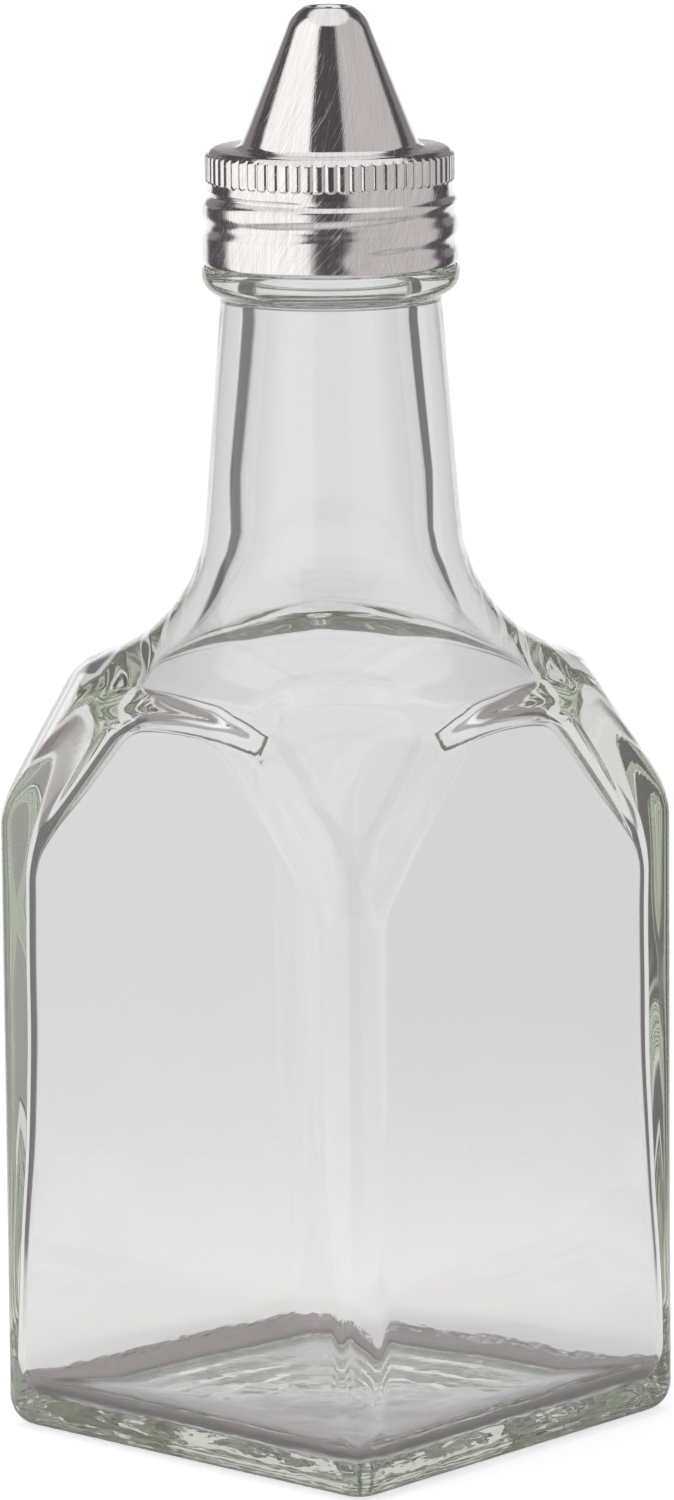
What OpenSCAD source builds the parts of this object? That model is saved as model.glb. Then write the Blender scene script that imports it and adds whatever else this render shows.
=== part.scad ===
// Square glass oil and vinegar bottle with a screw-on stainless steel pouring top.
// The bottle stands on the XY plane with its axis on +Z and its flat sides facing +-X and +-Y.

/* [Body] */
// Width across the flat sides
body_width = 60; // [50:1:75]
// Radius of the upright corner edges
body_corner = 4.7; // [4:0.1:8]
// Radius of the rounded heel round the base
heel = 3.6; // [2:0.1:4.5]
// Glass thickness of the sides and the shoulder
wall = 3.5; // [3:0.1:5]
// Glass thickness of the base
base_glass = 3.5; // [3:0.5:10]
// Radius of the upright corners of the inside
cavity_corner = 5; // [5:0.1:9]
// Radius of the hollow under the base
push_up_radius = 19; // [12:0.5:22]
// Height of the hollow under the base
push_up_rise = 1.5; // [0.5:0.1:2.5]

/* [Shoulder] */
// Height where the corner facets start on the upright edges
facet_start = 77.1; // [60:0.5:100]
// Lean of the corner facets from upright, in degrees
facet_lean = 32; // [25:1:40]
// Height of the corner facets
facet_rise = 16.3; // [13:0.1:18]
// Slope of the shoulder below horizontal, in degrees
shoulder_slope = 22.8; // [18:0.2:26]
// Radius of the sweep from the shoulder into the neck
sweep_radius = 19; // [16:0.5:21]

/* [Neck] */
// Height of the neck, from the end of the sweep to the ring under the cap
neck_height = 27.2; // [20:0.1:34]
// Neck radius just under the ring
neck_radius = 13.2; // [12.8:0.1:13.4]
// Lean of the neck's side from upright, in degrees
neck_taper = 4.54; // [3:0.1:6]
// Radius of the bottle's mouth
mouth_radius = 9.3; // [8:0.1:10]
// Length of the straight part of the mouth
mouth_length = 17.6; // [12:0.2:22]

/* [Finish] */
// Largest radius of the ring under the cap
ring_radius = 15.45; // [15.3:0.05:15.8]
// Radius of the ring's rounded edge
ring_edge = 2.6; // [2.2:0.1:2.8]
// Height of the ring's widest line above the neck
ring_height = 3; // [2.7:0.1:3.4]
// Height of the ring's flat top above its widest line
ring_top = 0.9; // [0.6:0.1:1.2]
// Height of the threaded finish above the ring
finish_height = 12.4; // [12:0.1:13]
// Radius of the finish between the threads
finish_radius = 13.3; // [13:0.05:13.4]
// Rounding of the lip of the mouth
lip_round = 0.8; // [0.4:0.1:1]

/* [Thread] */
// Rise of the thread in one turn
thread_pitch = 3.7; // [3.4:0.1:4.1]
// Height of the glass thread over the finish
glass_thread_height = 1.25; // [1.1:0.05:1.3]
// Length of the glass thread, in degrees
glass_thread_turn = 400; // [360:10:450]
// Depth of the thread rolled into the cap
rolled_depth = 0.7; // [0.55:0.05:0.75]
// Length of the rolled thread, in degrees
rolled_turn = 720; // [600:10:740]
// Radial gap between the glass thread and the cap
thread_gap = 0.3; // [0.2:0.05:0.4]

/* [Cap] */
// Thickness of the steel sheet
sheet = 0.4; // [0.3:0.05:0.5]
// Gap between the cap's lower edge and the ring
skirt_gap = 0.3; // [0.2:0.1:0.5]
// Radius of the cone where its side would meet the flat top
cone_radius = 10.85; // [10.4:0.05:11.2]
// Height over the flat top of the crown that the cone's rounded tip would reach without its hole
cone_height = 17.35; // [15.5:0.05:18]
// Lean of the cone's side from upright, in degrees
cone_lean = 22.2; // [20.4:0.2:23.4]
// Radius of the rounding at the cone's tip
tip_round = 4.8; // [4.4:0.1:5.2]
// Radius of the pouring hole
pour_hole = 2; // [1.5:0.1:2.3]
// Outer radius of the turned-in edge of the pouring hole
pour_curl = 0.6; // [0.55:0.05:0.8]
// Length of the straight lip inside the pouring hole
pour_lip = 1; // [0.6:0.1:1.6]
// Radius of the fillet round the foot of the cone
cone_foot = 1; // [0.6:0.1:1.4]
// Radius of the rounded edge of the cap's flat top
rim_round = 1; // [0.7:0.05:1.1]
// Number of ridges in the grip band
grip_ridges = 64; // [48:2:80]
// Height of the grip band
grip_band = 3.1; // [2.6:0.1:3.3]
// Height of a grip ridge over the band
grip_depth = 0.25; // [0.15:0.05:0.3]
// Height of the plain neck between the grip band and the rolled thread
cap_waist = 0.9; // [0.7:0.1:1.1]
// Radius of the grip ridges' rounded fronts
ridge_round = 0.3; // [0.2:0.05:0.3]

/* [Washer] */
// Thickness of the sealing washer
washer_thickness = 1.25; // [1:0.05:1.5]
// Radial gap between the washer and the mouth's bore
washer_bore_gap = 0.2; // [0.1:0.05:0.4]
// Radial gap between the washer and the inside of the cap
washer_edge_gap = 0.35; // [0.2:0.05:0.5]
// Bevel on the washer's upper outer edge
washer_bevel = 0.4; // [0.3:0.05:0.6]

/* [Hidden] */
$fn = 96;
FAR = 60;             // reaches past every side of the bottle
ARC_STEPS = 12;       // straight pieces in a profile's arc
SMALL_ARC_STEPS = 6;  // straight pieces in a small rounding
OVERLAP = 1;          // how far a cutting form reaches past the face it opens
SKIRT_SIDES = 60;     // facets round the rolled skirt
SKIRT_ROWS = 16;      // rows of facets up the rolled skirt
THREAD_STEP = 6;      // degrees between the glass thread's sections
THREAD_RUN_OUT = 30;  // degrees over which a thread fades away
facet_cutter = 2.5;   // length of a facet's cutter, in heights of the facet
inner_heel = 1;       // how much rounder the inside's lower edge is than the heel
ring_arc_start = -82; // where the ring's rounded edge meets the neck, in degrees
thread_root = 0.6;    // depth of the glass thread's foot inside the finish
thread_foot = 1.1;    // half of its width at the foot
thread_side = 0.75;   // half of its width where the crest's bevel starts
thread_crest = 0.35;  // half of its width at the crest
crest_bevel = 0.3;    // depth of that bevel
thread_thin = 0.05;   // share of its height left at its ends
waist_ease = 0.1;     // how far the waist stands over the foot of the rolled groove
waist_blend = 0.9;    // height over which the skirt comes in to the waist
waist_land = 0.5;     // straight height of the skirt's top under the waist
waist_step = 0.3;     // height of the step from the grip band to the waist
grip_step = 0.05;     // how far the grip band stands over the waist
edge_turn = 0.1;      // how far the skirt's lower edge is turned in
edge_height = 0.5;    // height of that turned edge
groove_half = 1.3;    // half of the rolled groove's width
groove_rise = 5.85;   // its height over the skirt's lower edge where it passes the +X side
ridge_end = 0.1;      // how far the grip ridges stop short of the band's ends
joint_rise = 0.3;     // how far the skirt's sheet runs up inside the waist's
joint_inset = 0.05;   // how far it stays inside the waist's two faces

// Shoulder: where the slope, the facets and the sweep meet, on the diagonal of the square.
corner_reach = (body_width / 2 - body_corner) * sqrt(2) + body_corner;
facet_top_z = facet_start + facet_rise;
facet_top_r = corner_reach - facet_rise * tan(facet_lean);

// The sweep's arc starts along the shoulder's slope and ends along the neck's taper.
sweep_start = 270 - shoulder_slope;
sweep_end = 180 + neck_taper;
neck_foot_r = neck_radius + neck_height * tan(neck_taper);
sweep_x = neck_foot_r + sweep_radius * cos(neck_taper);
sweep_foot_r = sweep_x + sweep_radius * cos(sweep_start);
sweep_foot_z = facet_top_z + (facet_top_r - sweep_foot_r) * tan(shoulder_slope);
sweep_z = sweep_foot_z - sweep_radius * sin(sweep_start);
neck_foot_z = sweep_z - sweep_radius * sin(neck_taper);
neck_top_z = neck_foot_z + neck_height;

// Finish
ring_z = neck_top_z + ring_height;
ring_top_z = ring_z + ring_top;
ring_centre_r = ring_radius - ring_edge;
mouth_z = ring_top_z + finish_height;

// Washer and cap
washer_top_z = mouth_z + washer_thickness;
cap_top_z = washer_top_z + sheet;
skirt_z = ring_top_z + skirt_gap;
crest_radius = finish_radius + glass_thread_height + thread_gap + sheet;
waist_radius = crest_radius - rolled_depth + waist_ease;
grip_radius = waist_radius + grip_step;
rim_r = grip_radius - rim_round;
rim_z = cap_top_z - rim_round;
grip_z = rim_z - grip_band;
skirt_top_z = grip_z - cap_waist;
waist_foot_z = skirt_top_z - waist_land;
washer_radius = grip_radius - sheet - washer_edge_gap;

// Cone: the tip's arc meets the side and the curl of the hole, and the foot's fillet the flat top.
tip_z = cap_top_z + cone_height - tip_round;
tip_r = cone_radius - tip_round / cos(cone_lean) - (cone_height - tip_round) * tan(cone_lean);
curl_angle = acos((pour_hole + pour_curl - tip_r) / (tip_round - pour_curl));
curl_r = pour_hole + pour_curl;
curl_z = tip_z + (tip_round - pour_curl) * sin(curl_angle);
foot_z = cap_top_z + cone_foot;
foot_r = cone_radius - cone_foot * tan(cone_lean) + cone_foot / cos(cone_lean);

// Rolled thread: where it starts, and the height of its middle at an angle, counted from the +X side.
rolled_start = -408;
rolled_zero_z = skirt_z + groove_rise;
function groove_z(a) = rolled_zero_z + thread_pitch * a / 360;

// The glass thread lies half a pitch above the groove and ends under the cap's waist.
thread_top_z = waist_foot_z - waist_blend - thread_foot;
glass_thread_end = (thread_top_z - thread_pitch / 2 - rolled_zero_z) * 360 / thread_pitch;
glass_thread_start = glass_thread_end - glass_thread_turn;

// Points of an arc, from angle a to angle b.
function arc(x, y, r, a, b, steps = ARC_STEPS) =
    [for (i = [0:steps]) let (t = a + (b - a) * i / steps) [x + r * cos(t), y + r * sin(t)]];

// 0 below a, 1 above b, and a smooth rise between them.
function ramp(x, a, b) = let (t = min(1, max(0, (x - a) / (b - a)))) t * t * (3 - 2 * t);

// How deep the rolled groove is at an angle and a height, from 0 to 1. Each turn of it is looked at.
function groove_share(angle, z) = max([
    for (turn = [-2:1])
        let (
            a = angle + 360 * turn,
            off = abs(z - groove_z(a)) / groove_half,
            along = a - rolled_start,
            fade = ramp(along, 0, THREAD_RUN_OUT) * ramp(rolled_turn - along, 0, THREAD_RUN_OUT)
        )
        off < 1 ? fade * pow(cos(90 * off), 2) : 0
]);

// Outer radius of the rolled skirt.
function skirt_radius(angle, z) =
    crest_radius
    - (crest_radius - waist_radius) * ramp(z, waist_foot_z - waist_blend, waist_foot_z)
    - rolled_depth * groove_share(angle, z) * (1 - ramp(z, waist_foot_z - waist_land, skirt_top_z))
    - edge_turn * (1 - ramp(z, skirt_z, skirt_z + edge_height));

// Half of a square bar's upright section: from its middle plane out to half its width.
module half_section(half, lower, bottom, top) {
    polygon(concat(
        [[0, bottom]],
        arc(half - lower, bottom + lower, lower, -90, 0),
        [[half, top], [0, top]]
    ));
}

// A square bar with rounded upright edges and a rounded lower end.
module square_bar(width, corner, lower, bottom, top) {
    inner = width / 2 - corner;
    for (turn = [0:90:270]) rotate([0, 0, turn]) {
        rotate([90, 0, 0]) linear_extrude(2 * inner, center = true)
            half_section(width / 2, lower, bottom, top);
        translate([inner, inner]) rotate_extrude() half_section(corner, lower, bottom, top);
    }
}

// Cuts the four corners to leaning facets that start at the given height on the upright edges.
module facet_cutters(reach, start) {
    for (turn = [45:90:315]) rotate([0, 0, turn]) translate([reach, 0, start])
        rotate([0, -facet_lean, 0]) translate([0, -FAR / 2, -facet_rise])
            cube([FAR, FAR, facet_cutter * facet_rise]);
}

// The outside: a square bar inside a turned shoulder, neck and finish.
module outer_form() {
    difference() {
        intersection() {
            square_bar(body_width, body_corner, heel, 0, mouth_z + FAR);
            rotate_extrude() polygon(concat(
                [[0, -OVERLAP], [FAR, -OVERLAP]],
                [[FAR, facet_top_z - (FAR - facet_top_r) * tan(shoulder_slope)]],
                arc(sweep_x, sweep_z, sweep_radius, sweep_start, sweep_end),
                [[neck_radius, neck_top_z]],
                arc(ring_centre_r, ring_z, ring_edge, ring_arc_start, asin(ring_top / ring_edge)),
                [[finish_radius, ring_top_z]],
                arc(finish_radius - lip_round, mouth_z - lip_round, lip_round, 0, 90, SMALL_ARC_STEPS),
                [[0, mouth_z]]
            ));
        }
        facet_cutters(corner_reach, facet_start);
    }
}

// The inside: the same form, a glass thickness smaller, and open at the mouth.
module cavity() {
    inside = body_width - 2 * wall;
    inside_reach = (inside / 2 - cavity_corner) * sqrt(2) + cavity_corner;
    slope_top_z = facet_top_z - wall / cos(shoulder_slope);
    facet_drop = (corner_reach - inside_reach - wall / cos(facet_lean)) / tan(facet_lean);
    throat_z = mouth_z - lip_round - mouth_length;
    sweep = sweep_radius + wall;
    difference() {
        intersection() {
            square_bar(inside, cavity_corner, heel + inner_heel, base_glass, mouth_z + FAR);
            rotate_extrude() polygon(concat(
                [[0, 0], [FAR, 0], [FAR, slope_top_z - (FAR - facet_top_r) * tan(shoulder_slope)]],
                arc(sweep_x, sweep_z, sweep, sweep_start, sweep_end),
                [[mouth_radius, throat_z]],
                arc(mouth_radius + lip_round, mouth_z - lip_round, lip_round, 180, 90, SMALL_ARC_STEPS),
                [[mouth_radius + lip_round, mouth_z + OVERLAP], [0, mouth_z + OVERLAP]]
            ));
        }
        facet_cutters(inside_reach, facet_start + facet_drop);
    }
}

// One thread of glass round the finish, half a pitch above the cap's rolled groove.
module glass_thread() {
    steps = ceil(glass_thread_turn / THREAD_STEP);
    section = [
        [-thread_root, -thread_foot],
        [glass_thread_height - crest_bevel, -thread_side],
        [glass_thread_height, -thread_crest],
        [glass_thread_height, thread_crest],
        [glass_thread_height - crest_bevel, thread_side],
        [-thread_root, thread_foot]
    ];
    sides = len(section);
    points = [
        for (i = [0:steps]) let (
            along = glass_thread_turn * i / steps,
            a = glass_thread_start + along,
            share = ramp(along, 0, THREAD_RUN_OUT) * ramp(glass_thread_turn - along, 0, THREAD_RUN_OUT),
            size = thread_thin + (1 - thread_thin) * share
        )
        for (p = section) let (r = finish_radius + (p.x > 0 ? p.x * size : p.x))
            [r * cos(a), r * sin(a), groove_z(a) + thread_pitch / 2 + p.y * (1 + size) / 2]
    ];
    faces = concat(
        [[for (j = [0:sides - 1]) j]],
        [for (i = [0:steps - 1]) for (j = [0:sides - 1]) let (k = (j + 1) % sides)
            [i * sides + j, (i + 1) * sides + j, (i + 1) * sides + k, i * sides + k]],
        [[for (j = [sides - 1:-1:0]) steps * sides + j]]
    );
    polyhedron(points, faces, convexity = 6);
}

module glass_bottle() {
    push_up_sphere = (pow(push_up_radius, 2) + pow(push_up_rise, 2)) / (2 * push_up_rise);
    color("honeydew", 0.4) difference() {
        union() {
            outer_form();
            glass_thread();
        }
        cavity();
        translate([0, 0, push_up_rise - push_up_sphere]) sphere(push_up_sphere);
    }
}

// Flat ring that the cap presses on the mouth.
module sealing_washer() {
    color("white") rotate_extrude() polygon([
        [mouth_radius + washer_bore_gap, mouth_z],
        [washer_radius, mouth_z],
        [washer_radius, washer_top_z - washer_bevel],
        [washer_radius - washer_bevel, washer_top_z],
        [mouth_radius + washer_bore_gap, washer_top_z]
    ]);
}

// Cone, flat top, rim and waist, as one turned sheet.
module cap_crown() {
    rotate_extrude() polygon(concat(
        [[pour_hole, curl_z - pour_lip]],
        arc(curl_r, curl_z, pour_curl, 180, curl_angle, SMALL_ARC_STEPS),
        arc(tip_r, tip_z, tip_round, curl_angle, cone_lean),
        arc(foot_r, foot_z, cone_foot, 180 + cone_lean, 270, SMALL_ARC_STEPS),
        arc(rim_r, rim_z, rim_round, 90, 0, SMALL_ARC_STEPS),
        [[grip_radius, grip_z], [waist_radius, grip_z - waist_step]],
        [[waist_radius, skirt_top_z], [waist_radius - sheet, skirt_top_z]],
        [[waist_radius - sheet, grip_z - waist_step], [grip_radius - sheet, grip_z]],
        arc(rim_r, rim_z, rim_round - sheet, 0, 90, SMALL_ARC_STEPS),
        arc(foot_r, foot_z, cone_foot + sheet, 270, 180 + cone_lean, SMALL_ARC_STEPS),
        arc(tip_r, tip_z, tip_round - sheet, cone_lean, curl_angle),
        arc(curl_r, curl_z, pour_curl - sheet, curl_angle, 180, SMALL_ARC_STEPS),
        [[pour_hole + sheet, curl_z - pour_lip]]
    ));
}

// Upright ridges round the rim.
module grip_ridges_ring() {
    for (i = [0:grip_ridges - 1]) rotate([0, 0, 360 * i / grip_ridges])
        translate([grip_radius + grip_depth - ridge_round, 0, grip_z + ridge_end])
            cylinder(h = grip_band - 2 * ridge_end, r = ridge_round, $fn = 24);
}

// Threaded skirt: a sheet whose radius follows the rolled groove.
module rolled_skirt() {
    n = SKIRT_SIDES;
    m = SKIRT_ROWS + 2;
    rise = skirt_top_z - skirt_z;
    rows = [
        for (i = [0:SKIRT_ROWS]) [skirt_z + rise * i / SKIRT_ROWS, i == SKIRT_ROWS ? joint_inset : 0],
        [skirt_top_z + joint_rise, 2 * joint_inset]
    ];
    function ring_point(i, row, depth) = let (a = 360 * i / n, r = skirt_radius(a, row.x) - depth)
        [r * cos(a), r * sin(a), row.x];
    points = concat(
        [for (row = rows) for (i = [0:n - 1]) ring_point(i, row, row.y)],
        [for (row = rows) for (i = [0:n - 1]) ring_point(i, row, sheet - row.y)]
    );
    inner = m * n;
    last = (m - 1) * n;
    faces = [for (i = [0:n - 1]) let (k = (i + 1) % n) each concat(
        [for (j = [0:m - 2]) each [
            [j * n + i, (j + 1) * n + i, (j + 1) * n + k],
            [j * n + i, (j + 1) * n + k, j * n + k],
            [inner + j * n + i, inner + (j + 1) * n + k, inner + (j + 1) * n + i],
            [inner + j * n + i, inner + j * n + k, inner + (j + 1) * n + k]
        ]],
        [[i, k, inner + k], [i, inner + k, inner + i],
         [last + i, inner + last + k, last + k], [last + i, inner + last + i, inner + last + k]]
    )];
    polyhedron(points, faces, convexity = 8);
}

module pour_cap() {
    color("silver") union() {
        cap_crown();
        grip_ridges_ring();
        rolled_skirt();
    }
}

glass_bottle();
sealing_washer();
pour_cap();
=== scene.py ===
"""Square glass oil and vinegar bottle with a screw-on steel pouring top."""
import math
import bpy
import numpy as np
from mathutils import Matrix, Vector


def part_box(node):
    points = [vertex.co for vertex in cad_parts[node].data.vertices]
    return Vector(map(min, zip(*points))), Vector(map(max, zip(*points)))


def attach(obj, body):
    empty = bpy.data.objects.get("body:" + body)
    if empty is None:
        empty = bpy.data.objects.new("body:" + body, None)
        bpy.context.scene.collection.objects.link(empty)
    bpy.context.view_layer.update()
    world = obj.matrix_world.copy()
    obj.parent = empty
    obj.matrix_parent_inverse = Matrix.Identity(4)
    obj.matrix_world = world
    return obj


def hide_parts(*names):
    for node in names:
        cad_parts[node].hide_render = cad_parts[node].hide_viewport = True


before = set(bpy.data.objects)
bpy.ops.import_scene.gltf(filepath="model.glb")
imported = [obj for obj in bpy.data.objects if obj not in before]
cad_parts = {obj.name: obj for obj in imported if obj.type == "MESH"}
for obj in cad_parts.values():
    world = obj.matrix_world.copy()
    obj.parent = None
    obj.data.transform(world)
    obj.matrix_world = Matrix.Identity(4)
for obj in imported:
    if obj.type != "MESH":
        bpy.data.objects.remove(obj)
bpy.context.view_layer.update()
scene = bpy.context.scene
MM = 0.001
DEGREE = math.pi / 180

# ---------------------------------------------------------------- sizes, in millimetres
bottle_low, bottle_high = (np.array(corner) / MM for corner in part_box("glass_bottle"))
cap_low, cap_high = (np.array(corner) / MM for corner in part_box("pour_cap"))
washer_low, washer_high = (np.array(corner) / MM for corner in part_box("sealing_washer"))

# Bottle
HALF = bottle_high[0]          # half of the width over the flats
MOUTH_Z = bottle_high[2]
CORNER_R = 4.7                 # upright corner edges
FACET_START = 77.1
FACET_LEAN = 32 * DEGREE
FACET_RISE = 16.3
SLOPE = 22.8 * DEGREE
SWEEP_R = 19.0
NECK_HEIGHT = 27.2
NECK_R = 13.2
NECK_TAPER = 4.54 * DEGREE
RING_R = 15.45
RING_EDGE = 2.6
RING_HEIGHT = 3.0
RING_TOP = 0.9
FINISH_R = 13.3
BORE_R = 9.3
LIP = 0.8
BORE_LENGTH = 17.6
PITCH = 3.7

CORNER_REACH = (HALF - CORNER_R) * math.sqrt(2) + CORNER_R
FACET_TOP_Z = FACET_START + FACET_RISE
FACET_TOP_R = CORNER_REACH - FACET_RISE * math.tan(FACET_LEAN)
NECK_FOOT_R = NECK_R + NECK_HEIGHT * math.tan(NECK_TAPER)
SWEEP_X = NECK_FOOT_R + SWEEP_R * math.cos(NECK_TAPER)
SWEEP_FOOT_R = SWEEP_X - SWEEP_R * math.sin(SLOPE)
SWEEP_Z = FACET_TOP_Z + (FACET_TOP_R - SWEEP_FOOT_R) * math.tan(SLOPE) + SWEEP_R * math.cos(SLOPE)
NECK_FOOT_Z = SWEEP_Z - SWEEP_R * math.sin(NECK_TAPER)
NECK_TOP_Z = NECK_FOOT_Z + NECK_HEIGHT
RING_Z = NECK_TOP_Z + RING_HEIGHT
RING_TOP_Z = RING_Z + RING_TOP

# Cap
SHEET = 0.4
CREST_R = cap_high[0]
SKIRT_Z = cap_low[2]
CAP_TOP_Z = washer_high[2] + SHEET
ROLLED_DEPTH = 0.7              # depth of the rolled thread that the waist follows
GROOVE_DEPTH = 0.75 * ROLLED_DEPTH  # the groove as seen, softened by the sheet's stretch
GROOVE_HALF = 1.5
GROOVE_ZERO_Z = SKIRT_Z + 5.85
GROOVE_START = -408.0          # degrees, counted from +X
GROOVE_TURN = 720.0
WAIST_R = CREST_R - ROLLED_DEPTH + 0.1
GRIP_R = WAIST_R + 0.05
RIM_ROUND = 1.0
RIM_R = GRIP_R - RIM_ROUND
RIM_Z = CAP_TOP_Z - RIM_ROUND
GRIP_Z = RIM_Z - 3.1
SKIRT_TOP_Z = GRIP_Z - 0.9
WAIST_FOOT_Z = SKIRT_TOP_Z - 0.5
WAIST_BLEND = 0.9
RIDGES = 64
RIDGE_DEPTH = 0.2
RIDGE_TOP_Z = RIM_Z + 0.6       # the flutes run up into the rim's rounding
CONE_LEAN = 22.2 * DEGREE
CONE_R = 10.85
CONE_HEIGHT = 17.35
TIP_ROUND = 4.8
HOLE_R = 2.0
CURL = 0.6
FOOT_ROUND = 1.0
TIP_Z = CAP_TOP_Z + CONE_HEIGHT - TIP_ROUND
TIP_R = CONE_R - TIP_ROUND / math.cos(CONE_LEAN) - (CONE_HEIGHT - TIP_ROUND) * math.tan(CONE_LEAN)
CURL_ANGLE = math.acos((HOLE_R + CURL - TIP_R) / (TIP_ROUND - CURL))
CURL_Z = TIP_Z + (TIP_ROUND - CURL) * math.sin(CURL_ANGLE)
FOOT_R = CONE_R - FOOT_ROUND * math.tan(CONE_LEAN) + FOOT_ROUND / math.cos(CONE_LEAN)


# ---------------------------------------------------------------- small helpers
def ramp(x, a, b):
    t = np.clip((x - a) / (b - a), 0, 1)
    return t * t * (3 - 2 * t)


def round_max(a, b, r):
    """Where two forms meet, with the edge between them rounded to about the radius r."""
    corner = np.hypot(np.maximum(r + a, 0), np.maximum(r + b, 0))
    return np.minimum(-r, np.maximum(a, b)) + corner


def arc(x, y, r, a, b, steps):
    """Points of an arc, from angle a to angle b in degrees."""
    turns = np.radians(np.linspace(a, b, steps + 1))
    return [(x + r * math.cos(t), y + r * math.sin(t)) for t in turns]


def spaced(*stops):
    """Numbers through the stops (value, count): each count is the steps up to the next value."""
    runs = [np.linspace(a, b, n, endpoint=False) for (a, n), (b, _) in zip(stops, stops[1:])]
    return np.concatenate(runs + [[stops[-1][0]]])


def mesh_piece(name, points, faces, material):
    """A smooth mesh object from points in millimetres."""
    mesh = bpy.data.meshes.new(name)
    mesh.from_pydata((np.asarray(points) * MM).tolist(), [], faces)
    mesh.update()
    mesh.validate()
    mesh.shade_smooth()
    mesh.materials.append(material)
    piece = bpy.data.objects.new(name, mesh)
    scene.collection.objects.link(piece)
    return piece


def add(tree, kind, inputs=(), **settings):
    """A node with its settings, and its inputs set to values or linked to sockets."""
    node = tree.nodes.new(kind)
    for key, value in settings.items():
        setattr(node, key, value)
    for key, value in dict(inputs).items():
        if isinstance(value, bpy.types.NodeSocket):
            tree.links.new(value, node.inputs[key])
        else:
            node.inputs[key].default_value = value
    return node


def calculator(tree):
    """A short call for the tree's number nodes: calc("ADD", a, b)."""
    def calc(operation, *numbers):
        return add(tree, "ShaderNodeMath", dict(enumerate(numbers)), operation=operation).outputs[0]
    return calc


def graded(tree, value, low, high, start=0.0, end=1.0, kind="LINEAR"):
    """The value between low and high, carried over to between start and end."""
    inputs = {"Value": value, "From Min": low, "From Max": high, "To Min": start, "To Max": end}
    return add(tree, "ShaderNodeMapRange", inputs, interpolation_type=kind).outputs[0]


def eased(tree, value, low, high, start=0.0, end=1.0):
    """The same with a soft start and end."""
    return graded(tree, value, low, high, start, end, "SMOOTHSTEP")


def noise(tree, place, scale, detail):
    return add(tree, "ShaderNodeTexNoise", {"Vector": place, "Scale": scale, "Detail": detail}).outputs["Fac"]


def blend(tree, share, first, second):
    """A colour between two colours, each a socket or a tuple of red, green and blue."""
    first, second = ((*colour, 1) if isinstance(colour, tuple) else colour for colour in (first, second))
    return add(tree, "ShaderNodeMix", {0: share, 6: first, 7: second}, data_type="RGBA").outputs[2]


# ---------------------------------------------------------------- form of the glass
def square_side(x, y, half, corner):
    """Distance outside a square bar with rounded upright edges."""
    qx = np.abs(x) - (half - corner)
    qy = np.abs(y) - (half - corner)
    return np.hypot(np.maximum(qx, 0), np.maximum(qy, 0)) + np.minimum(np.maximum(qx, qy), 0) - corner


def shoulder(r, z, depth):
    """Distance outside the shoulder's slope, its sweep and the neck, each depth inside the outer one."""
    slope = (z - FACET_TOP_Z) * math.cos(SLOPE) + (r - FACET_TOP_R) * math.sin(SLOPE)
    sweep = SWEEP_R - np.hypot(r - SWEEP_X, z - SWEEP_Z)
    neck = (r - NECK_FOOT_R) * math.cos(NECK_TAPER) + (z - NECK_FOOT_Z) * math.sin(NECK_TAPER)
    angle = np.degrees(np.arctan2(z - SWEEP_Z, r - SWEEP_X)) % 360
    on_neck = angle < 180 + NECK_TAPER / DEGREE
    on_slope = angle > 270 - SLOPE / DEGREE
    return np.where(on_neck, neck, np.where(on_slope, slope, sweep)) + depth


def facets(x, y, z, depth):
    """Distance outside the four leaning corner facets."""
    reach = (np.abs(x) + np.abs(y)) / math.sqrt(2)
    return (reach - CORNER_REACH) * math.cos(FACET_LEAN) + (z - FACET_START) * math.sin(FACET_LEAN) + depth


def outer_form(x, y, z):
    """The outside without the ring and the finish: negative inside it, positive outside."""
    hollow_rise, hollow_r = 1.5, 19.0
    hollow_sphere = (hollow_r**2 + hollow_rise**2) / (2 * hollow_rise)
    r = np.hypot(x, y)
    form = round_max(square_side(x, y, HALF, CORNER_R), facets(x, y, z, 0), 1.4)
    rounding = 0.6 + 1.0 * ramp(np.abs(np.abs(x) - np.abs(y)), 5, 12)  # crisper along the tops of the facets
    form = round_max(form, shoulder(r, z, 0), rounding)
    form = round_max(form, -z, 3.6)
    hollow = hollow_sphere - np.sqrt(r**2 + (z - hollow_rise + hollow_sphere) ** 2)
    return round_max(form, hollow, 1.0)


def ripple(x, y, z):
    """Slow unevenness of the blown inside, between -1 and 1."""
    return (
        np.sin(0.21 * x + 0.13 * z + 0.6) * np.sin(0.17 * y - 0.09 * z + 1.9)
        + 0.6 * np.sin(0.37 * z + 0.11 * x - 0.19 * y)
        + 0.4 * np.sin(0.43 * x + 0.31 * y + 0.2 * z + 2.2)
    ) / 2


def inner_form(x, y, z):
    """The blown inside: thin at the foot of the sides, thick at the shoulder's edge."""
    r = np.hypot(x, y)
    up = ramp(z, 6, 50)
    wall = 2.3 + 1.1 * up
    corner = 2.2 + 1.6 * up
    depth = 3.7 + 0.9 * ramp(r, 16, 30)
    form = round_max(square_side(x, y, HALF - wall, corner), facets(x, y, z, 6.4), 2.5)
    form = round_max(form, shoulder(r, z, depth), 2.2)
    floor = 3.5 + 0.8 * np.exp(-((r / 15) ** 2))
    seam = ramp(np.abs(x + y), 22, 44)
    return round_max(form, floor - z, 5.0) + (0.02 + 0.1 * seam) * ripple(x, y, z)


def cast(form, origins, rises, angles):
    """Points where rays from the axis, one row for each origin and rise, leave the form."""
    z0 = origins[:, None]
    dx = np.cos(rises)[:, None] * np.cos(angles)[None]
    dy = np.cos(rises)[:, None] * np.sin(angles)[None]
    dz = np.sin(rises)[:, None] * np.ones_like(angles)[None]
    near = np.zeros_like(dx)
    far = np.full_like(dx, 90.0)
    for _ in range(40):
        middle = (near + far) / 2
        inside = form(dx * middle, dy * middle, z0 + dz * middle) < 0
        near = np.where(inside, middle, near)
        far = np.where(inside, far, middle)
    return np.stack([dx * near, dy * near, z0 + dz * near], axis=-1)


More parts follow.
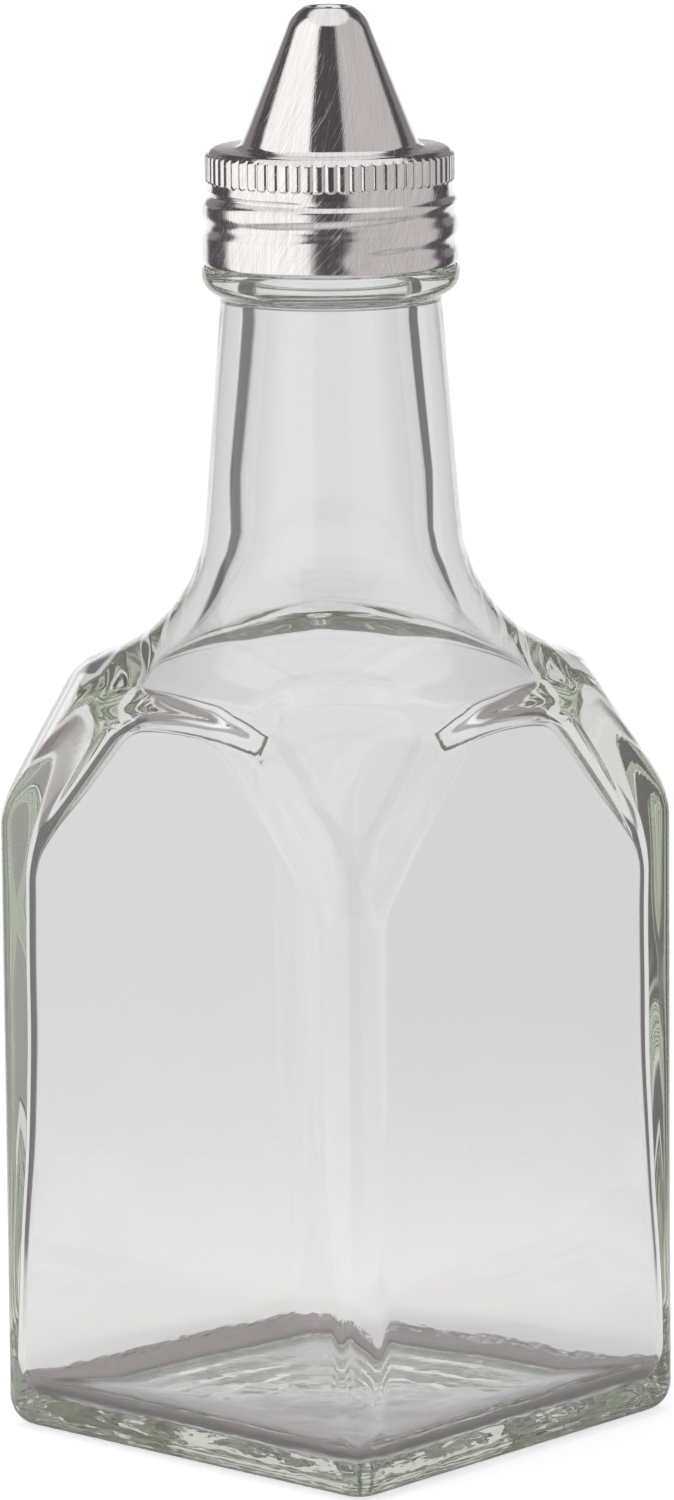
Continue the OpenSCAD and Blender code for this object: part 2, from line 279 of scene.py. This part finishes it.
def thread_height(angle, z):
    """Height of the glass thread over the finish."""
    height, turns, run_out = 1.25, 400.0, 30.0
    last_z = WAIST_FOOT_Z - WAIST_BLEND - 1.1 - PITCH / 2
    last = (last_z - GROOVE_ZERO_Z) * 360 / PITCH
    result = np.zeros_like(z)
    for turn in range(-3, 2):
        a = np.degrees(angle) + 360 * turn
        along = a - (last - turns)
        fade = ramp(along, 0, run_out) * ramp(turns - along, 0, run_out)
        off = np.abs(z - (GROOVE_ZERO_Z + PITCH * a / 360 + PITCH / 2))
        result = np.maximum(result, height * fade * (1 - ramp(off, 0.3, 1.1)))
    return result


def turned_rows(profile, angles, threaded=False):
    """Rows of points round the axis for a list of (radius, height)."""
    r = np.array([p[0] for p in profile])[:, None] * np.ones_like(angles)[None]
    z = np.array([p[1] for p in profile])[:, None] * np.ones_like(angles)[None]
    if threaded:
        r = r + thread_height(angles[None], z)
    return np.stack([r * np.cos(angles), r * np.sin(angles), z], axis=-1)


def skin(rows, close_start, close_end):
    """Points and faces for rings of points laid one after another, closed at its ends by poles."""
    count, around = len(rows), len(rows[0])
    points = np.concatenate(rows).tolist()
    faces = []
    for i in range(count - 1):
        for j in range(around):
            k = (j + 1) % around
            faces.append((i * around + j, i * around + k, (i + 1) * around + k, (i + 1) * around + j))
    for row, pole, flip in ((0, close_start, True), (count - 1, close_end, False)):
        points.append(pole)
        for j in range(around):
            k = (j + 1) % around
            edge = (row * around + k, row * around + j) if flip else (row * around + j, row * around + k)
            faces.append((*edge, len(points) - 1))
    return points, faces


def glass_bottle(material):
    """The whole glass as one closed skin, from the middle of the base up, over the lip and down inside."""
    columns = 256
    even = np.linspace(0, 2 * math.pi, columns, endpoint=False)
    angles = even + 0.5 * np.sin(4 * even) / 4  # closer together at the corner edges

    # Outside, from the middle of the base to the neck.
    low, mid = 10.0, 72.0  # heights on the axis that the rays for the heel and the shoulder start from
    down = spaced((-88, 8), (-40, 10), (-22, 22), (-6, 3), (0, 1)) * DEGREE
    outside = [cast(outer_form, np.full_like(down, low), down, angles)]
    sides = np.linspace(low, mid, 22)[1:]
    outside.append(cast(outer_form, sides, np.zeros_like(sides), angles))
    up = spaced((0.8, 6), (6, 19), (29, 28), (38, 13), (50, 16), (67, 1)) * DEGREE
    outside.append(cast(outer_form, np.full_like(up, mid), up, angles))

    # The neck's side, the ring under the cap and the threaded finish are turned.
    def neck_side(z):
        return NECK_FOOT_R - (z - NECK_FOOT_Z) * math.tan(NECK_TAPER)

    neck_zs = np.linspace(NECK_FOOT_Z + 2, NECK_TOP_Z - 0.5, 12)
    ring = arc(RING_R - RING_EDGE, RING_Z, RING_EDGE, -66, 12, 18)
    ring_top_r = RING_R - 0.5
    profile = [(neck_side(z), z) for z in neck_zs]
    profile += [(NECK_R + 0.12, NECK_TOP_Z + 0.1), (NECK_R + 0.35, NECK_TOP_Z + 0.4)] + ring
    profile += arc(ring_top_r, RING_TOP_Z - 0.35, 0.35, 20, 90, 4)
    profile += [(FINISH_R + 0.5, RING_TOP_Z), (FINISH_R + 0.15, RING_TOP_Z + 0.12)]
    plain = turned_rows(profile, angles)
    finish_zs = np.linspace(RING_TOP_Z + 0.4, MOUTH_Z - LIP - 0.3, 38)
    threaded = turned_rows([(FINISH_R, z) for z in finish_zs], angles, threaded=True)
    lip = arc(FINISH_R - LIP, MOUTH_Z - LIP, LIP, 0, 90, 6)
    lip += arc(BORE_R + LIP, MOUTH_Z - LIP, LIP, 90, 180, 6)
    bore_zs = np.linspace(MOUTH_Z - LIP - 2, MOUTH_Z - LIP - BORE_LENGTH, 8)
    bore = turned_rows(lip + [(BORE_R, z) for z in bore_zs], angles)

    # Inside, from the throat down to the middle of the floor.
    inner_mid, inner_low = 62.0, 15.0
    throat_z = MOUTH_Z - LIP - BORE_LENGTH
    throat_foot_r = NECK_FOOT_R - 3.7
    throat_foot_z = NECK_FOOT_Z + 1.5
    shares = np.linspace(0, 1, 10)[1:-1]
    throat = [
        (BORE_R + (throat_foot_r - BORE_R) * t**1.1, throat_z + (throat_foot_z - throat_z) * t) for t in shares
    ]
    throat_rows = turned_rows(throat, angles)
    first_rise = math.atan2(NECK_FOOT_Z - inner_mid, throat_foot_r) / DEGREE
    inner_up = spaced((first_rise, 20), (50, 44), (4, 3), (0, 1)) * DEGREE
    inside = [cast(inner_form, np.full_like(inner_up, inner_mid), inner_up, angles)]
    inner_sides = np.linspace(inner_mid, inner_low, 26)[1:]
    inside.append(cast(inner_form, inner_sides, np.zeros_like(inner_sides), angles))
    inner_down = spaced((-2, 3), (-9, 26), (-40, 10), (-86, 1)) * DEGREE
    inside.append(cast(inner_form, np.full_like(inner_down, inner_low), inner_down, angles))

    rows = [ring_of for block in outside + [plain, threaded, bore, throat_rows] + inside for ring_of in block]
    base_pole = (0, 0, rows[0][:, 2].mean())
    floor_pole = (0, 0, rows[-1][:, 2].mean())
    points, faces = skin(rows, base_pole, floor_pole)
    return mesh_piece("moulded_glass_bottle", points, faces, material)


# ---------------------------------------------------------------- turned steel and plastic
def turned_form_tree():
    """Nodes that turn a profile round the axis, with flutes round a band and a rolled thread."""
    tree = bpy.data.node_groups.new("turned_form", "GeometryNodeTree")
    tree.interface.new_socket(name="Geometry", in_out="INPUT", socket_type="NodeSocketGeometry")
    for name, kind in (
        ("Columns", "NodeSocketInt"), ("Flutes", "NodeSocketInt"), ("Flute Depth", "NodeSocketFloat"),
        ("Band Low", "NodeSocketFloat"), ("Band High", "NodeSocketFloat"), ("Pitch", "NodeSocketFloat"),
        ("Groove Depth", "NodeSocketFloat"), ("Groove Half Width", "NodeSocketFloat"),
        ("Groove Zero Height", "NodeSocketFloat"), ("Groove Start", "NodeSocketFloat"),
        ("Groove Turns", "NodeSocketFloat"), ("Groove Top", "NodeSocketFloat"),
        ("Material", "NodeSocketMaterial"),
    ):
        tree.interface.new_socket(name=name, in_out="INPUT", socket_type=kind)
    tree.interface.new_socket(name="Geometry", in_out="OUTPUT", socket_type="NodeSocketGeometry")
    given = add(tree, "NodeGroupInput").outputs
    calc = calculator(tree)

    # A flat grid: one row for each profile point, one column for each step round the axis.
    count = add(tree, "GeometryNodeAttributeDomainSize", {0: given["Geometry"]}, component="MESH").outputs[0]
    last_row = calc("SUBTRACT", count, 1.0)
    grid = add(
        tree, "GeometryNodeMeshGrid",
        {"Size X": 1.0, "Size Y": 1.0, "Vertices X": calc("ADD", given["Columns"], 1.0), "Vertices Y": count},
    )
    place = add(tree, "GeometryNodeInputPosition").outputs[0]
    across = add(tree, "ShaderNodeSeparateXYZ", {0: place})
    row = calc("ROUND", calc("MULTIPLY", calc("ADD", across.outputs["Y"], 0.5), last_row))
    even_turn = calc("ADD", across.outputs["X"], 0.5)
    flute_phase = calc("MULTIPLY", calc("MULTIPLY", even_turn, given["Flutes"]), 2 * math.pi)
    gather = calc("DIVIDE", calc("SINE", flute_phase), calc("MAXIMUM", given["Flutes"], 1.0))
    turn = calc("SUBTRACT", even_turn, calc("MULTIPLY", gather, 0.6 / (2 * math.pi)))
    sampled = add(
        tree, "GeometryNodeSampleIndex",
        {"Geometry": given["Geometry"], "Value": place, "Index": row}, data_type="FLOAT_VECTOR", domain="POINT",
    )
    profile = add(tree, "ShaderNodeSeparateXYZ", {0: sampled.outputs[0]})
    radius, inner_side, height = profile.outputs["X"], profile.outputs["Y"], profile.outputs["Z"]

    # Flutes: broad lands with narrow notches between them, and scalloped lower ends.
    part = calc("FRACT", calc("MULTIPLY", turn, given["Flutes"]))
    from_middle = calc("MULTIPLY", calc("ABSOLUTE", calc("SUBTRACT", part, 0.5)), 2.0)
    land = eased(tree, from_middle, 0.6, 1.0, 1.0, 0.0)
    scallop = calc("MULTIPLY", calc("POWER", from_middle, 2.0), 0.45 * MM)
    low_edge = calc("ADD", given["Band Low"], scallop)
    band_foot = eased(tree, height, low_edge, calc("ADD", low_edge, 0.25 * MM))
    high_edge = calc("SUBTRACT", given["Band High"], 0.5 * MM)
    band = calc("MULTIPLY", band_foot, eased(tree, height, high_edge, given["Band High"], 1.0, 0.0))
    raised = calc("MULTIPLY", calc("MULTIPLY", land, band), given["Flute Depth"])
    flute = calc("MULTIPLY", raised, calc("SUBTRACT", 1.0, inner_side))

    # Rolled thread: how far a height is from the nearest turn of the helix.
    lead = calc("DIVIDE", calc("SUBTRACT", height, given["Groove Zero Height"]), given["Pitch"])
    winding = calc("SUBTRACT", lead, turn)
    whole = calc("ROUND", winding)
    off = calc("MULTIPLY", calc("ABSOLUTE", calc("SUBTRACT", winding, whole)), given["Pitch"])
    along = calc("SUBTRACT", calc("ADD", turn, whole), given["Groove Start"])
    run_out = 30 / 360
    left_over = calc("SUBTRACT", given["Groove Turns"], along)
    fade = calc("MULTIPLY", eased(tree, along, 0.0, run_out), eased(tree, left_over, 0.0, run_out))
    dip = eased(tree, off, 0.0, given["Groove Half Width"], 1.0, 0.0)
    groove_fade = calc("SUBTRACT", given["Groove Top"], 0.5 * MM)
    under_waist = eased(tree, height, groove_fade, given["Groove Top"], 1.0, 0.0)
    groove = calc("MULTIPLY", calc("MULTIPLY", calc("MULTIPLY", dip, fade), under_waist), given["Groove Depth"])

    reach = calc("SUBTRACT", calc("ADD", radius, flute), groove)
    angle = calc("MULTIPLY", turn, 2 * math.pi)
    out_x = calc("MULTIPLY", reach, calc("COSINE", angle))
    out_y = calc("MULTIPLY", reach, calc("SINE", angle))
    point = add(tree, "ShaderNodeCombineXYZ", {0: out_x, 1: out_y, 2: height})
    placed = {"Geometry": grid.outputs["Mesh"], "Position": point.outputs[0]}
    turned = add(tree, "GeometryNodeSetPosition", placed)
    closed = add(tree, "GeometryNodeMergeByDistance", {"Geometry": turned.outputs[0], "Distance": 0.002 * MM})
    outward = add(tree, "GeometryNodeFlipFaces", {"Mesh": closed.outputs[0]})
    smoothed = add(tree, "GeometryNodeSetShadeSmooth", {"Geometry": outward.outputs[0]})
    real = add(tree, "GeometryNodeRealizeInstances", {"Geometry": smoothed.outputs[0]})
    coated = {"Geometry": real.outputs[0], "Material": given["Material"]}
    finished = add(tree, "GeometryNodeSetMaterial", coated)
    add(tree, "NodeGroupOutput", {0: finished.outputs[0]})
    return tree


def grown(name, tree, profile, sizes):
    """A plain mesh that the tree makes of a profile: (radius, height, 1 on the inner side) in millimetres."""
    line = bpy.data.meshes.new(name + "_profile")
    line.from_pydata([(r * MM, side, z * MM) for r, z, side in profile], [], [])
    carrier = bpy.data.objects.new(name + "_profile", line)
    scene.collection.objects.link(carrier)
    modifier = carrier.modifiers.new("turned form", "NODES")
    modifier.node_group = tree
    for socket in tree.interface.items_tree:
        if socket.in_out == "INPUT" and socket.name in sizes:
            modifier[socket.identifier] = sizes[socket.name]
    mesh = bpy.data.meshes.new_from_object(carrier.evaluated_get(bpy.context.evaluated_depsgraph_get()))
    bpy.data.objects.remove(carrier)
    mesh.name = name
    mesh.materials.clear()
    mesh.materials.append(sizes["Material"])
    mesh.polygons.foreach_set("material_index", np.zeros(len(mesh.polygons), np.int32))
    piece = bpy.data.objects.new(name, mesh)
    scene.collection.objects.link(piece)
    return piece


def pouring_cap(tree, material):
    """One spun and rolled sheet: curled hole, rounded tip, cone, flat top, fluted rim, threaded skirt."""
    curl_turn, lean = CURL_ANGLE / DEGREE, CONE_LEAN / DEGREE
    side_top = (TIP_R + TIP_ROUND * math.cos(CONE_LEAN), TIP_Z + TIP_ROUND * math.sin(CONE_LEAN))
    side_foot = (FOOT_R - FOOT_ROUND * math.cos(CONE_LEAN), CAP_TOP_Z + FOOT_ROUND * (1 - math.sin(CONE_LEAN)))

    def skirt_side(z):
        waist_in = (CREST_R - WAIST_R) * float(ramp(z, WAIST_FOOT_Z - WAIST_BLEND, WAIST_FOOT_Z))
        return CREST_R - waist_in - 0.1 * float(1 - ramp(z, SKIRT_Z, SKIRT_Z + 0.5))

    def cone_side(steps):
        top, foot = np.array(side_top), np.array(side_foot)
        return [tuple(top * (1 - i / steps) + foot * i / steps) for i in range(1, steps)]

    outer = [(HOLE_R, CURL_Z - 1)] + arc(HOLE_R + CURL, CURL_Z, CURL, 180, curl_turn, 8)
    outer += arc(TIP_R, TIP_Z, TIP_ROUND, curl_turn, lean, 16)[1:] + cone_side(7)
    outer += arc(FOOT_R, CAP_TOP_Z + FOOT_ROUND, FOOT_ROUND, 180 + lean, 270, 8)
    outer += arc(RIM_R, RIM_Z, RIM_ROUND, 90, 0, 14)
    waist_start_z, edge_z = WAIST_FOOT_Z - WAIST_BLEND, SKIRT_Z + 0.06
    band_zs = spaced((RIM_Z - 0.08, 5), (RIM_Z - 0.45, 5), (GRIP_Z + 0.8, 8), (GRIP_Z + 0.05, 1))
    outer += [(GRIP_R, z) for z in band_zs]
    outer += [(WAIST_R, z) for z in spaced((GRIP_Z - 0.25, 3), (SKIRT_TOP_Z + 0.1, 1))]
    outer += [(skirt_side(z), z) for z in spaced((SKIRT_TOP_Z, 6), (waist_start_z, 34), (edge_z, 1))]
    inner = [(skirt_side(z) - SHEET, z) for z in spaced((edge_z, 26), (waist_start_z, 6), (SKIRT_TOP_Z, 1))]
    inner += [(WAIST_R - SHEET, GRIP_Z - 0.3), (GRIP_R - SHEET, GRIP_Z)]
    inner += arc(RIM_R, RIM_Z, RIM_ROUND - SHEET, 0, 90, 4)
    inner += arc(FOOT_R, CAP_TOP_Z + FOOT_ROUND, FOOT_ROUND + SHEET, 270, 180 + lean, 5)
    inner += arc(TIP_R, TIP_Z, TIP_ROUND - SHEET, lean, curl_turn, 8)
    inner += arc(HOLE_R + CURL, CURL_Z, CURL - SHEET, curl_turn, 180, 4) + [(HOLE_R + SHEET, CURL_Z - 1)]
    edge = [(skirt_side(SKIRT_Z) - 0.06, SKIRT_Z, 0.0), (skirt_side(SKIRT_Z) - SHEET + 0.06, SKIRT_Z, 1.0)]
    profile = [(r, min(z, cap_high[2]), 0.0) for r, z in outer] + edge + [(r, z, 1.0) for r, z in inner]
    return grown("spun_steel_pour_cap", tree, profile + profile[:1], {
        "Columns": 512, "Flutes": RIDGES, "Flute Depth": RIDGE_DEPTH * MM, "Band Low": (GRIP_Z + 0.05) * MM,
        "Band High": RIDGE_TOP_Z * MM, "Pitch": PITCH * MM, "Groove Depth": GROOVE_DEPTH * MM,
        "Groove Half Width": GROOVE_HALF * MM, "Groove Zero Height": GROOVE_ZERO_Z * MM,
        "Groove Start": GROOVE_START / 360, "Groove Turns": GROOVE_TURN / 360, "Groove Top": SKIRT_TOP_Z * MM,
        "Material": material,
    })


def sealing_washer(tree, material):
    """Moulded ring with rounded edges and two beads on each face that seal on the glass and the steel."""
    outer_r, bevel, edge = washer_high[0], 0.4, 0.12
    bore_r = BORE_R + 0.2
    low, high = washer_low[2], washer_high[2]
    beads = [bore_r + (outer_r - bevel - bore_r) * share for share in (0.36, 0.7)]

    def face(z, inward):
        """Radii across a face, and its height with shallow channels beside each bead."""
        points = []
        for r in np.linspace(bore_r + 0.3, outer_r - bevel - 0.2, 36):
            channel = sum(math.exp(-(((r - bead) / 0.3) ** 2)) for bead in beads)
            points.append((r, z + inward * 0.16 * (1 - min(1.0, channel))))
        return points

    profile = arc(outer_r - edge, low + edge, edge, 270, 360, 4)
    profile += [(outer_r, high - bevel - 0.1), (outer_r - 0.03, high - bevel), (outer_r - bevel, high - 0.03)]
    profile += [(outer_r - bevel - 0.08, high)] + face(high, -1)[::-1]
    profile += arc(bore_r + edge, high - edge, edge, 90, 180, 4)
    profile += arc(bore_r + edge, low + edge, edge, 180, 270, 4)
    profile += face(low, 1)
    closed = [(r, z, 1.0) for r, z in (profile + profile[:1])[::-1]]
    return grown("moulded_sealing_washer", tree, closed, {
        "Columns": 192, "Flutes": 0, "Pitch": 1.0, "Groove Half Width": 1.0, "Groove Depth": 0.0,
        "Material": material,
    })


# ---------------------------------------------------------------- materials
def new_material(name):
    material = bpy.data.materials.new(name)
    material.use_nodes = True
    return material, material.node_tree, material.node_tree.nodes["Principled BSDF"]


def give_relief(tree, shader, height, strength, distance):
    bump = add(tree, "ShaderNodeBump", {"Height": height, "Strength": strength, "Distance": distance})
    tree.links.new(bump.outputs["Normal"], shader.inputs["Normal"])


def clear_glass():
    """Clear glass, slowly uneven, streaky at the foot, and greenish where the light goes a long way in it."""
    material, tree, shader = new_material("clear_soda_lime_glass")
    shader.inputs["Base Color"].default_value = (1, 1, 1, 1)
    shader.inputs["Roughness"].default_value = 0.0
    shader.inputs["IOR"].default_value = 1.52
    shader.inputs["Transmission Weight"].default_value = 1.0
    calc = calculator(tree)
    place = add(tree, "ShaderNodeTexCoord").outputs["Object"]
    waves = noise(tree, place, 55.0, 1.0)
    stretched = add(tree, "ShaderNodeVectorMath", {0: place, 1: (140.0, 140.0, 480.0)}, operation="MULTIPLY")
    streaks = noise(tree, stretched.outputs[0], 1.0, 2.0)
    rise = add(tree, "ShaderNodeSeparateXYZ", {0: place}).outputs["Z"]
    foot = eased(tree, rise, 0.004, 0.0095, 0.18, 0.0)
    uneven = calc("ADD", calc("MULTIPLY", waves, 0.05), calc("MULTIPLY", streaks, foot))
    give_relief(tree, shader, uneven, 1.0, 0.001)
    depth = add(tree, "ShaderNodeVolumeAbsorption", {"Color": (0.79, 0.83, 0.745, 1), "Density": 17.0})
    tree.links.new(depth.outputs["Volume"], tree.nodes["Material Output"].inputs["Volume"])
    return material


def brushed_steel():
    """Bright steel with upright and leaning hairlines, pale scratches, and a duller rolled skirt."""
    material, tree, shader = new_material("brushed_stainless_steel")
    shader.inputs["Metallic"].default_value = 1.0
    calc = calculator(tree)
    place = add(tree, "ShaderNodeTexCoord").outputs["Object"]
    parts = add(tree, "ShaderNodeSeparateXYZ", {"Vector": place}).outputs
    flat = add(tree, "ShaderNodeCombineXYZ", {"X": parts["X"], "Y": parts["Y"]})
    around = add(tree, "ShaderNodeVectorMath", {0: flat.outputs[0]}, operation="NORMALIZE")

    def hairlines(lean, fineness, length):
        """Noise drawn out along lines that lean round the axis, from 0 to 1."""
        turned = add(
            tree, "ShaderNodeVectorRotate",
            {"Vector": around.outputs[0], "Angle": calc("MULTIPLY", parts["Z"], lean)}, rotation_type="Z_AXIS",
        )
        spread = add(tree, "ShaderNodeVectorMath", {0: turned.outputs[0], "Scale": fineness}, operation="SCALE")
        lifted = add(tree, "ShaderNodeCombineXYZ", {"Z": calc("MULTIPLY", parts["Z"], length)})
        line = add(tree, "ShaderNodeVectorMath", {0: spread.outputs[0], 1: lifted.outputs[0]}, operation="ADD")
        return noise(tree, line.outputs[0], 1.0, 3.0)

    upright = hairlines(0.0, 62.0, 140.0)
    leaning = hairlines(-42.0, 70.0, 190.0)
    patches = noise(tree, place, 160.0, 2.0)
    grain = add(tree, "ShaderNodeMix", {"Factor": patches, "A": upright, "B": leaning}).outputs[0]
    long_scratches = graded(tree, hairlines(-62.0, 52.0, 260.0), 0.61, 0.66, 0.0, 0.2)
    short_scratches = graded(tree, hairlines(-30.0, 46.0, 330.0), 0.64, 0.68, 0.0, 0.16)
    skirt = graded(tree, parts["Z"], (SKIRT_TOP_Z + 0.3) * MM, SKIRT_TOP_Z * MM, 0.0, 0.09)
    worn = calc("ADD", calc("ADD", long_scratches, short_scratches), skirt)
    rough = calc("ADD", graded(tree, grain, 0.3, 0.7, 0.05, 0.13), worn)
    tree.links.new(rough, shader.inputs["Roughness"])
    tone = blend(tree, graded(tree, grain, 0.34, 0.66), (0.70, 0.68, 0.675), (0.93, 0.915, 0.91))
    tree.links.new(tone, shader.inputs["Base Color"])
    give_relief(tree, shader, grain, 0.5, 0.000016)
    return material


def washer_plastic():
    """Natural white plastic, faintly clouded, with a fine mould grain."""
    material, tree, shader = new_material("moulded_washer_plastic")
    shader.inputs["IOR"].default_value = 1.5
    place = add(tree, "ShaderNodeTexCoord").outputs["Object"]
    tone = blend(tree, noise(tree, place, 260.0, 3.0), (0.80, 0.80, 0.77), (0.90, 0.90, 0.88))
    tree.links.new(tone, shader.inputs["Base Color"])
    grain = noise(tree, place, 2600.0, 2.0)
    tree.links.new(graded(tree, grain, 0.0, 1.0, 0.38, 0.6), shader.inputs["Roughness"])
    give_relief(tree, shader, grain, 0.3, 0.00005)
    return material


# ---------------------------------------------------------------- studio
def studio_world(camera_azimuth):
    """Plain white to the camera, one set of soft panels for mirrored rays and another for refracted ones."""
    world = bpy.data.worlds.new("studio")
    scene.world = world
    world.use_nodes = True
    tree = world.node_tree
    tree.nodes.clear()
    calc = calculator(tree)
    way = add(tree, "ShaderNodeTexCoord").outputs["Generated"]
    facing = {"Vector": way, "Angle": -camera_azimuth}
    turned = add(tree, "ShaderNodeVectorRotate", facing, rotation_type="Z_AXIS")
    parts = add(tree, "ShaderNodeSeparateXYZ", {"Vector": turned.outputs[0]})
    # After the turn the camera looks from -Y: x is to its right, y is away from it.
    side = calc("ARCTAN2", parts.outputs["X"], parts.outputs["Y"])  # 0 behind the bottle, positive to the right
    height = calc("ARCSINE", parts.outputs["Z"])

    def panel(left, right, bottom, top, soft=3.0):
        """A soft-edged panel between two sides and two heights, all in degrees."""
        def edge(value, at, start, end):
            return eased(tree, value, (at - soft) * DEGREE, (at + soft) * DEGREE, start, end)

        wide = calc("MULTIPLY", edge(side, left, 0, 1), edge(side, right, 1, 0))
        tall = calc("MULTIPLY", edge(height, bottom, 0, 1), edge(height, top, 1, 0))
        return calc("MULTIPLY", wide, tall)

    def lit(ground, lights):
        """The ground colour with the panels laid over it."""
        colour = ground
        for mask, tint in lights:
            colour = blend(tree, mask, colour, tint)
        return colour

    mirrored = lit((0.09, 0.08, 0.085), (
        (panel(66, 163, -40, 18), (0.60, 0.57, 0.57)),
        (panel(66, 158, 18, 55, 1.5), (0.60, 0.57, 0.57)),
        (panel(-163, -72, -40, 18), (1.12, 1.11, 1.10)),
        (panel(-150, -72, 18, 55, 1.5), (1.12, 1.11, 1.10)),
        (panel(-50, 50, 5, 26), (0.26, 0.24, 0.24)),
        (panel(-32, 32, -95, 5), (1.05, 1.05, 1.05)),
        (panel(-200, 200, 52, 95, 2), (0.95, 0.94, 0.94)),
    ))
    refracted = lit((0.76, 0.755, 0.765), (
        (panel(-200, 200, 20, 50), (0.28, 0.245, 0.245)),
        (panel(-200, 200, 56, 95), (0.95, 0.95, 0.95)),
        (panel(47, 66, -60, 40, 2), (0.14, 0.13, 0.13)),
        (panel(66, 105, -60, 40), (0.34, 0.33, 0.33)),
        (panel(-105, -42, -60, 40), (0.13, 0.12, 0.12)),
    ))
    seen = add(tree, "ShaderNodeLightPath").outputs
    shown = blend(tree, seen["Is Transmission Ray"], mirrored, refracted)
    shown = blend(tree, seen["Is Camera Ray"], shown, (1.0, 1.0, 1.0))
    ground = add(tree, "ShaderNodeBackground", {"Color": shown, "Strength": 1.0})
    add(tree, "ShaderNodeOutputWorld", {0: ground.outputs[0]})


def studio_floor():
    """Pale table top, white to the eye, that fades out into the white ground; for mirrored and refracted rays
    it carries a painted shadow round and under the bottle's foot.
    """
    material, tree, shader = new_material("pale_floor_with_painted_shadow")
    for name, value in (("Roughness", 0.9), ("Specular IOR Level", 0.1), ("Emission Color", (1, 1, 1, 1))):
        shader.inputs[name].default_value = value
    calc = calculator(tree)
    seen = add(tree, "ShaderNodeLightPath").outputs["Is Camera Ray"]
    place = add(tree, "ShaderNodeTexCoord").outputs["Object"]

    # Painted shadow: round the bottle's square foot the table carries a dim mauve band, and under the foot a
    # faint 12 percent darkening, where the glow is also lessened. Only mirrored and refracted rays meet this
    # painted shadow, so it shows in the glass. To the camera the table is pale.
    inner_edge, inner_soft = 0.020, 0.025
    outer_edge, outer_soft = 0.0325, 0.0335
    waver = 0.0022
    across = add(tree, "ShaderNodeSeparateXYZ", {0: place}).outputs
    square = calc("MAXIMUM", calc("ABSOLUTE", across["X"]), calc("ABSOLUTE", across["Y"]))
    wavering = calc("MULTIPLY", calc("SUBTRACT", noise(tree, place, 700.0, 2.0), 0.5), waver)
    off = calc("ADD", square, wavering)
    outside = eased(tree, off, outer_edge, outer_soft, 1, 0)
    # painted shadow: a mauve band round the foot, and under the foot a faint 12 percent darkening
    painted_shadow_border = calc("MULTIPLY", eased(tree, off, inner_edge, inner_soft), outside)
    middle = calc("MULTIPLY", eased(tree, off, inner_edge, inner_soft, 1, 0), 0.12)
    # painted shadow for mirrored and refracted rays only: the base colour turns to the mauve (0.50, 0.42, 0.44)
    # and the glow is lessened there
    painted_shadow = calc("MULTIPLY", calc("MAXIMUM", painted_shadow_border, middle), calc("SUBTRACT", 1.0, seen))
    tree.links.new(blend(tree, painted_shadow, (0.92, 0.92, 0.92), (0.50, 0.42, 0.44)), shader.inputs["Base Color"])
    glow = calc("ADD", calc("MULTIPLY", calc("SUBTRACT", 1.0, painted_shadow), 0.22), calc("MULTIPLY", seen, 0.33))
    tree.links.new(calc("ADD", glow, 0.05), shader.inputs["Emission Strength"])

    far = add(tree, "ShaderNodeVectorMath", {0: place}, operation="LENGTH").outputs["Value"]
    fade = eased(tree, far, 0.05, 0.25)
    clear = add(tree, "ShaderNodeBsdfTransparent")
    mix = add(tree, "ShaderNodeMixShader", {0: fade, 1: shader.outputs[0], 2: clear.outputs[0]})
    tree.links.new(mix.outputs[0], tree.nodes["Material Output"].inputs["Surface"])
    size = 2500.0
    corners = [(-size, -size, 0), (size, -size, 0), (size, size, 0), (-size, size, 0)]
    floor = mesh_piece("floor", corners, [(0, 1, 2, 3)], material)


def studio_camera(azimuth):
    """A long lens a little above the bottle, turned so that an upright edge faces it."""
    distance, height, aim, roll = 0.9899, 0.2645, 0.0829, -0.535 * DEGREE
    place = Vector((distance * math.sin(azimuth), -distance * math.cos(azimuth), height))
    ahead = (Vector((0, 0, aim)) - place).normalized()
    right = ahead.cross(Vector((0, 0, 1))).normalized()
    up = right.cross(ahead)
    leaned_right = math.cos(roll) * right + math.sin(roll) * up
    leaned_up = math.cos(roll) * up - math.sin(roll) * right
    data = bpy.data.cameras.new("camera")
    data.lens = 200.05
    data.sensor_width = 36
    data.shift_x = 0.00115
    data.clip_start, data.clip_end = 0.05, 50
    camera = bpy.data.objects.new("camera", data)
    axes = Matrix((leaned_right, leaned_up, -ahead)).transposed()
    camera.matrix_world = Matrix.Translation(place) @ axes.to_4x4()
    scene.collection.objects.link(camera)
    scene.camera = camera


# ---------------------------------------------------------------- assembly
CAMERA_AZIMUTH = 41.73 * DEGREE
studio_camera(CAMERA_AZIMUTH)
studio_world(CAMERA_AZIMUTH)
studio_floor()
scene.view_settings.view_transform = "Standard"
scene.cycles.max_bounces = 40  # light is led a long way inside the glass walls
scene.cycles.glossy_bounces = 40
scene.cycles.transmission_bounces = 40

turned_form = turned_form_tree()
for piece, body, node, slot in (
    (glass_bottle(clear_glass()), "bottle", "glass_bottle", "clear_glass"),
    (sealing_washer(turned_form, washer_plastic()), "washer", "sealing_washer", "washer_plastic"),
    (pouring_cap(turned_form, brushed_steel()), "cap", "pour_cap", "brushed_steel"),
):
    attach(piece, body)
    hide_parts(node)
